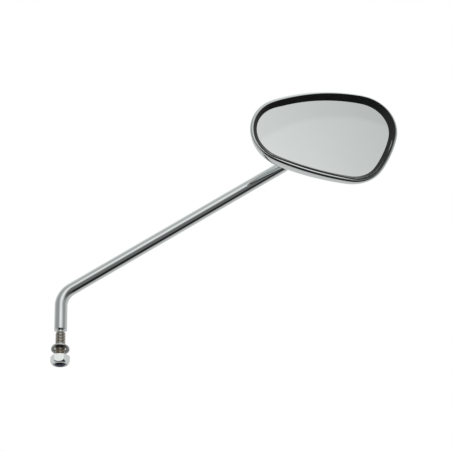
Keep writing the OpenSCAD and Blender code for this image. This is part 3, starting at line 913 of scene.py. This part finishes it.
foam = grained("foam", FOAM_TONES, size=0.4, metallic=0.0, roughness=0.75)
fibre = grained("fibre_sheet", FIBRE_TONES, size=0.8, metallic=0.0, roughness=0.7)
oiled_steel = grained("steel", STEEL_TONES, size=1.2, metallic=1.0, roughness=0.25)
cup_nylon = nylon("cup_nylon", *CUP_TONES)
zinc = bright_zinc("zinc")
foam.wear(nodes["backing_pad"])
fibre.wear(nodes["backing_sheet"])
for name in ("pivot_ball", "clamp_ring", "socket_plate"):
    oiled_steel.wear(nodes[name])
for name in ("rear_cup", "front_cup"):
    cup_nylon.wear(nodes[name])
for k in (1, 2, 3):
    oiled_steel.wear(nodes[f"spring_washer_{k}"])
    zinc.wear(nodes[f"clamp_screw_{k}"])
    zinc.wear(nodes[f"clamp_nut_{k}"])

# Studio. A pale floor well below and an even white surround light the part. The chrome and the
# glass mirror a surround of soft round patches instead: a bright ceiling behind them, a grey wall
# on the left, a dark floor in front, a dark doorway on the right and a window behind the camera.
FLOOR_Z = -0.62
FLOOR_HALF = 4
FLOOR_GREY = (0.8, 0.8, 0.8)
PLAIN_LEVEL = 0.85
MIRRORED_LEVEL = 0.664
# A patch is azimuth, elevation, and the cosines to its centre at its rim and where it is full.
# Its own level stands beside it, or what it adds to the level that is there
CEILING, CEILING_MORE = (-13.6, 55.8, 0.70, 1.005), 0.48
LEFT_WALL, LEFT_WALL_LEVEL = (-126, 10.6, 0.465, 1.054), 0.36
DARK_FLOOR, DARK_FLOOR_LEVEL = (164, -45.7, 0.203, 0.727), 0.01
LIT_FLOOR, LIT_FLOOR_MORE = (144.5, -12.6, 0.776, 0.958), 0.175
DOORWAY, DOORWAY_LEVEL, DOORWAY_SHARE = (120.5, 6.3, 0.682, 0.928), 0.027, 0.442
WINDOW, WINDOW_LEVEL = (168.8, 0, 0.74, 1.03), 0.913
# The window is a circle pressed flat by a factor, about a height on the unit sphere
WINDOW_HEIGHT = 0.234
WINDOW_FLATTEN = 2.2
# Small bright patches above the window, and what each adds
GLOWS = (
    ((173, 25, 0.955, 0.992), 0.18),
    ((-172, 22, 0.97, 0.994), 0.13),
    ((158.9, 25.4, 0.9946, 0.9951), 0.06),
    ((140, 60, 0.94, 0.98), 0.5),
)

corners = [(x * FLOOR_HALF, y * FLOOR_HALF, FLOOR_Z) for x, y in ((-1, -1), (1, -1), (1, 1), (-1, 1))]
floor = bpy.data.objects.new("floor", bpy.data.meshes.new("floor"))
scene.collection.objects.link(floor)
floor.data.from_pydata(corners, [], [(0, 1, 2, 3)])
floor_finish = Finish("floor")
floor_finish.feed(floor_finish.shader, {"Base Color": (*FLOOR_GREY, 1), "Roughness": 0.9})
floor_finish.wear(floor)
floor.visible_glossy = False


def sky_direction(azimuth, elevation):
    """Unit vector at an azimuth from +Y towards +X and an elevation, both in degrees."""
    a, e = math.radians(azimuth), math.radians(elevation)
    return math.sin(a) * math.cos(e), math.cos(a) * math.cos(e), math.sin(e)


def patch(w, ray, azimuth, elevation, rim, full):
    """Soft round patch of the surround: 0 where the cosine to its centre is rim, 1 at full."""
    toward = w.node(
        "ShaderNodeVectorMath", {"operation": "DOT_PRODUCT"},
        {0: ray, 1: sky_direction(azimuth, elevation)}, out="Value",
    )
    return w.node(
        "ShaderNodeMapRange", {"interpolation_type": "SMOOTHSTEP"},
        {"Value": toward, "From Min": rim, "From Max": full},
    )


def studio_world():
    """Level of the surround by direction, for mirrored rays only; all others see an even white."""
    w = Finish("studio", world=True)
    ray = w.node("ShaderNodeTexCoord", out="Generated")
    flat = w.node("ShaderNodeVectorMath", {"operation": "SUBTRACT"}, {0: ray, 1: (0, 0, WINDOW_HEIGHT)})
    flat = w.node("ShaderNodeVectorMath", {"operation": "MULTIPLY"}, {0: flat, 1: (1, 1, WINDOW_FLATTEN)})
    flat = w.node("ShaderNodeVectorMath", {"operation": "NORMALIZE"}, {0: flat})
    level = MIRRORED_LEVEL + CEILING_MORE * patch(w, ray, *CEILING)
    for place, shade in (
        (patch(w, ray, *LEFT_WALL), LEFT_WALL_LEVEL),
        (patch(w, ray, *DARK_FLOOR), DARK_FLOOR_LEVEL + LIT_FLOOR_MORE * patch(w, ray, *LIT_FLOOR)),
        (DOORWAY_SHARE * patch(w, ray, *DOORWAY), DOORWAY_LEVEL),
        (patch(w, flat, *WINDOW), WINDOW_LEVEL),
    ):
        level = level + place * (shade - level)
    for glow, more in GLOWS:
        level = level + more * patch(w, ray, *glow)
    seen = {
        name: w.node("ShaderNodeLightPath", out=f"Is {name} Ray")
        for name in ("Camera", "Glossy", "Transmission")
    }
    plain = PLAIN_LEVEL + (1 - PLAIN_LEVEL) * (seen["Camera"] + seen["Transmission"])
    strength = plain + seen["Glossy"] * (level - plain)
    w.feed(w.tree.nodes["Background"], {"Color": (1, 1, 1, 1), "Strength": strength})
    scene.world = w.data


studio_world()
scene.view_settings.view_transform = "Standard"
